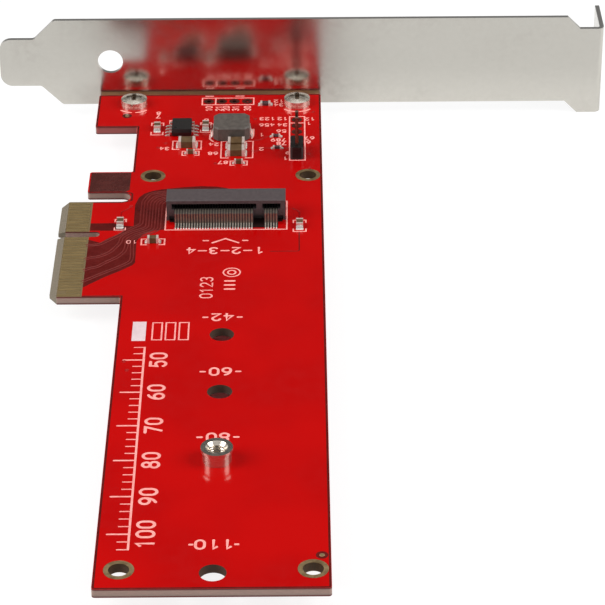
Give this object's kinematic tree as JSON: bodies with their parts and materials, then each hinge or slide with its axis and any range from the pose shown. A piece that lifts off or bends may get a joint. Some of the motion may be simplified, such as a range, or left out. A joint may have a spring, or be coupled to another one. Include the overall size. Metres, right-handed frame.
{
  "type": "storage module adapter card",
  "caption": "Expansion card that carries a flat plug-in storage module: board with edge connector, module socket and standoff, on a full-height steel slot bracket.",
  "frame": {"origin": "centre of the mouth of the edge connector's key notch, on the board's mid-plane and on the line of the connector's tip", "axes": "+X from the edge connector towards the board's free long edge, +Y along the board towards the bracket, +Z out of the board's component side"},
  "size_m": [0.12, 0.1749, 0.021],
  "materials": {
    "board": "glossy red solder mask over woven laminate",
    "gold_contacts": "thin gold plating, slightly worn",
    "plated_rings": "tinned copper",
    "bracket_steel": "nickel-plated, softly reflecting",
    "screw_steel": "bright nickel plating",
    "socket_plastic": "fine satin",
    "spring_contacts": "gold-flashed springs with tinned feet",
    "hold_down_metal": "matt tin",
    "standoff_metal": "turned and nickel-plated",
    "regulator_plastic": "moulded, slightly coarse",
    "lead_metal": "tinned, soft sheen",
    "ferrite": "pressed powder, faint grain",
    "capacitor_ceramic": "fired, satin",
    "resistor_ceramic": "glazed dark top",
    "chip_terminals": "tinned, dull",
    "header_plastic": "satin",
    "pin_metal": "gold-flashed",
    "solder": "bright solder"
  },
  "bodies": {
    "root": {"circuit_board": "board", "edge_contacts_upper": "gold_contacts", "edge_contacts_lower": "gold_contacts", "mounting_hole_plating": "plated_rings", "bracket": "bracket_steel", "bracket_screws": "screw_steel", "m2_socket_housing": "socket_plastic", "m2_lower_contacts": "spring_contacts", "m2_upper_contacts": "spring_contacts", "m2_hold_downs": "hold_down_metal", "standoff": "standoff_metal", "standoff_nut": "standoff_metal", "regulator_body": "regulator_plastic", "regulator_leads": "lead_metal", "inductor_core": "ferrite", "inductor_terminals": "lead_metal", "large_capacitor_bodies": "capacitor_ceramic", "large_capacitor_terminals": "chip_terminals", "small_capacitor_bodies": "capacitor_ceramic", "small_capacitor_terminals": "chip_terminals", "resistor_bodies": "resistor_ceramic", "resistor_terminals": "chip_terminals", "header_block": "header_plastic", "header_pins": "pin_metal", "header_solder": "solder"}
  },
  "joints": []
}
